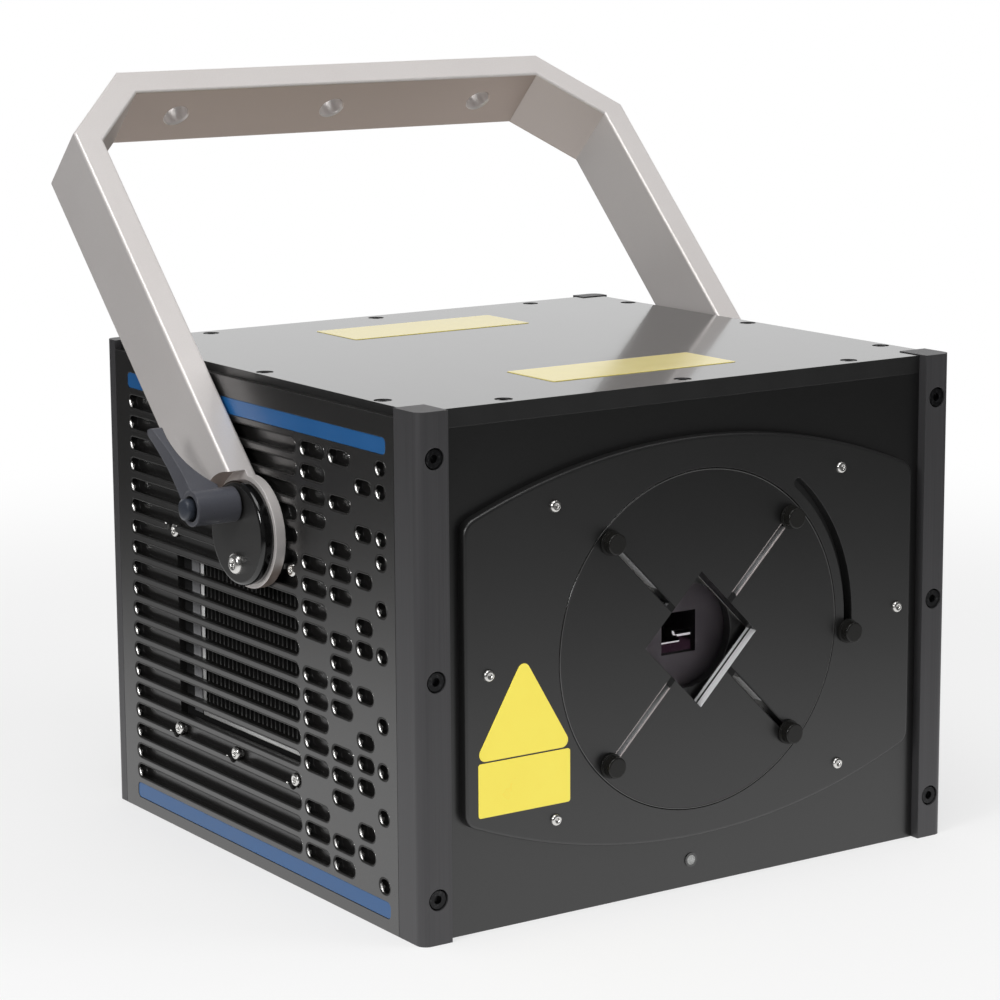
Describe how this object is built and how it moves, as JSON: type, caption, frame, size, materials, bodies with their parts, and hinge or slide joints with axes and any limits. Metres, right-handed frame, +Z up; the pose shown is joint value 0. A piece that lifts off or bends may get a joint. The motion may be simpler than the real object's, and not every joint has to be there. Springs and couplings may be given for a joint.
{
  "type": "laser show projector",
  "caption": "Box-shaped laser show projector with slotted side panels, a turning beam-masking disc with sliding blades, and a tilting carrying yoke with clamp levers.",
  "frame": {"origin": "middle of the housing's underside", "axes": "+X to the right seen from the front and along the tilt axis, -Y the way the beam leaves, +Z up"},
  "size_m": [0.389, 0.3528, 0.3744],
  "materials": {
    "post_metal": "vertically brushed, grey anodised",
    "side_metal": "satin dark grey anodised",
    "accent": "satin blue",
    "black_metal": "satin black",
    "lid_metal": "semi-gloss black",
    "black_screw": "blackened",
    "stainless": "bright stainless",
    "sink_metal": "black anodised",
    "yoke_metal": "satin, fine grain",
    "cap_black": "glossy",
    "lever_plastic": "dark slate",
    "button_plastic": "dark",
    "knob_plastic": "black",
    "washer_plastic": "black",
    "foam": "black closed-cell foam",
    "window_coating": "violet anti-reflection coat",
    "mirror_face": "polished",
    "lamp_lens": "clear lens",
    "fan_plastic": "black",
    "bright_steel": "nickel plated",
    "socket_plastic": "black",
    "key_metal": "nickel plated"
  },
  "bodies": {
    "housing": {"accent_strips": "accent", "base_plate": "black_metal", "cap_screws": "stainless", "cross_rails": "black_metal", "emission_lamp": "lamp_lens", "fan_frame": "fan_plastic", "fan_guard": "bright_steel", "friction_washers": "washer_plastic", "front_panel": "black_metal", "galvo_motors": "sink_metal", "heat_sink_left": "sink_metal", "heat_sink_right": "sink_metal", "interlock_socket": "socket_plastic", "key_switch": "bright_steel", "lid_screws": "black_screw", "mask_plate": "black_metal", "mask_screws": "stainless", "network_jack": "socket_plastic", "pivot_cap_left": "cap_black", "pivot_cap_right": "cap_black", "pivot_hub_left": "stainless", "pivot_hub_right": "stainless", "post_front_left": "post_metal", "post_front_right": "post_metal", "post_rear_left": "post_metal", "post_rear_right": "post_metal", "post_screws": "black_screw", "power_inlet": "socket_plastic", "rear_panel": "black_metal", "scanner_block": "black_metal", "scanner_pedestal": "black_metal", "side_panel_left": "side_metal", "side_panel_right": "side_metal", "signal_socket": "bright_steel", "sink_screws": "stainless", "top_lid": "lid_metal", "window_frame": "black_metal", "window_gaskets": "foam", "window_glass": "window_coating"},
    "yoke": {"yoke": "yoke_metal"},
    "clamp_stud_left": {"lever_stud_left": "stainless", "lever_button_left": "button_plastic"},
    "clamp_handle_left": {"lever_handle_left": "lever_plastic"},
    "clamp_stud_right": {"lever_stud_right": "stainless", "lever_button_right": "button_plastic"},
    "clamp_handle_right": {"lever_handle_right": "lever_plastic"},
    "masking_disc": {"mask_disc": "black_metal"},
    "blade_upper_left": {"blade_upper_left": "stainless"},
    "knob_upper_left": {"blade_knob_upper_left": "knob_plastic"},
    "blade_upper_right": {"blade_upper_right": "stainless"},
    "knob_upper_right": {"blade_knob_upper_right": "knob_plastic"},
    "blade_lower_left": {"blade_lower_left": "stainless"},
    "knob_lower_left": {"blade_knob_lower_left": "knob_plastic"},
    "blade_lower_right": {"blade_lower_right": "stainless"},
    "knob_lower_right": {"blade_knob_lower_right": "knob_plastic"},
    "clamp_screw": {"clamp_knob": "knob_plastic"},
    "mirror_x": {"scan_mirror_x": "mirror_face"},
    "mirror_y": {"scan_mirror_y": "mirror_face"},
    "fan_rotor": {"fan_rotor": "fan_plastic"},
    "key": {"switch_key": "key_metal"}
  },
  "joints": [
    {"name": "yoke_tilt", "type": "hinge", "parent": "housing", "child": "yoke", "pos_m": [0, -0.007, 0.1675], "axis": [1, 0, 0], "range_deg": [-75, 225]},
    {"name": "lever_turn_left", "type": "hinge", "parent": "housing", "child": "clamp_stud_left", "pos_m": [-0.1665, -0.007, 0.1819], "axis": [-1, 0, 0], "range_deg": [0, 120]},
    {"name": "lever_lift_left", "type": "slide", "parent": "clamp_stud_left", "child": "clamp_handle_left", "axis": [-1, 0, 0], "range_m": [0, 0.004], "stiffness_N_per_m": 400},
    {"name": "lever_turn_right", "type": "hinge", "parent": "housing", "child": "clamp_stud_right", "pos_m": [0.1665, -0.007, 0.1819], "axis": [1, 0, 0], "range_deg": [0, 120]},
    {"name": "lever_lift_right", "type": "slide", "parent": "clamp_stud_right", "child": "clamp_handle_right", "axis": [1, 0, 0], "range_m": [0, 0.004], "stiffness_N_per_m": 400},
    {"name": "mask_turn", "type": "hinge", "parent": "housing", "child": "masking_disc", "pos_m": [0.0018, -0.142, 0.1202], "axis": [0, -1, 0], "range_deg": [0, 55]},
    {"name": "blade_slide_upper_left", "type": "slide", "parent": "masking_disc", "child": "blade_upper_left", "axis": [0.7071, 0, -0.7071], "range_m": [0, 0.023]},
    {"name": "blade_slide_upper_right", "type": "slide", "parent": "masking_disc", "child": "blade_upper_right", "axis": [-0.7071, 0, -0.7071], "range_m": [0, 0.023]},
    {"name": "blade_slide_lower_left", "type": "slide", "parent": "masking_disc", "child": "blade_lower_left", "axis": [0.7071, 0, 0.7071], "range_m": [0, 0.023]},
    {"name": "blade_slide_lower_right", "type": "slide", "parent": "masking_disc", "child": "blade_lower_right", "axis": [-0.7071, 0, 0.7071], "range_m": [0, 0.023]},
    {"name": "knob_turn_upper_left", "type": "hinge", "parent": "blade_upper_left", "child": "knob_upper_left", "pos_m": [-0.05053, -0.147, 0.17253], "axis": [0, -1, 0], "continuous": true},
    {"name": "knob_turn_upper_right", "type": "hinge", "parent": "blade_upper_right", "child": "knob_upper_right", "pos_m": [0.05413, -0.147, 0.17253], "axis": [0, -1, 0], "continuous": true},
    {"name": "knob_turn_lower_left", "type": "hinge", "parent": "blade_lower_left", "child": "knob_lower_left", "pos_m": [-0.05053, -0.147, 0.06787], "axis": [0, -1, 0], "continuous": true},
    {"name": "knob_turn_lower_right", "type": "hinge", "parent": "blade_lower_right", "child": "knob_lower_right", "pos_m": [0.05413, -0.147, 0.06787], "axis": [0, -1, 0], "continuous": true},
    {"name": "clamp_turn", "type": "hinge", "parent": "masking_disc", "child": "clamp_screw", "pos_m": [0.09026, -0.147, 0.11246], "axis": [0, -1, 0], "continuous": true},
    {"name": "scan_x", "type": "hinge", "parent": "housing", "child": "mirror_x", "pos_m": [0.0018, -0.0983, 0.1202], "axis": [0, 0, 1], "range_deg": [-12, 12]},
    {"name": "scan_y", "type": "hinge", "parent": "housing", "child": "mirror_y", "pos_m": [0.0018, -0.1133, 0.1152], "axis": [1, 0, 0], "range_deg": [-12, 12]},
    {"name": "fan_spin", "type": "hinge", "parent": "housing", "child": "fan_rotor", "pos_m": [0.044, 0.126, 0.15], "axis": [0, 1, 0], "continuous": true},
    {"name": "key_turn", "type": "hinge", "parent": "housing", "child": "key", "pos_m": [-0.118, 0.146, 0.096], "axis": [0, 1, 0], "range_deg": [0, 90]}
  ]
}
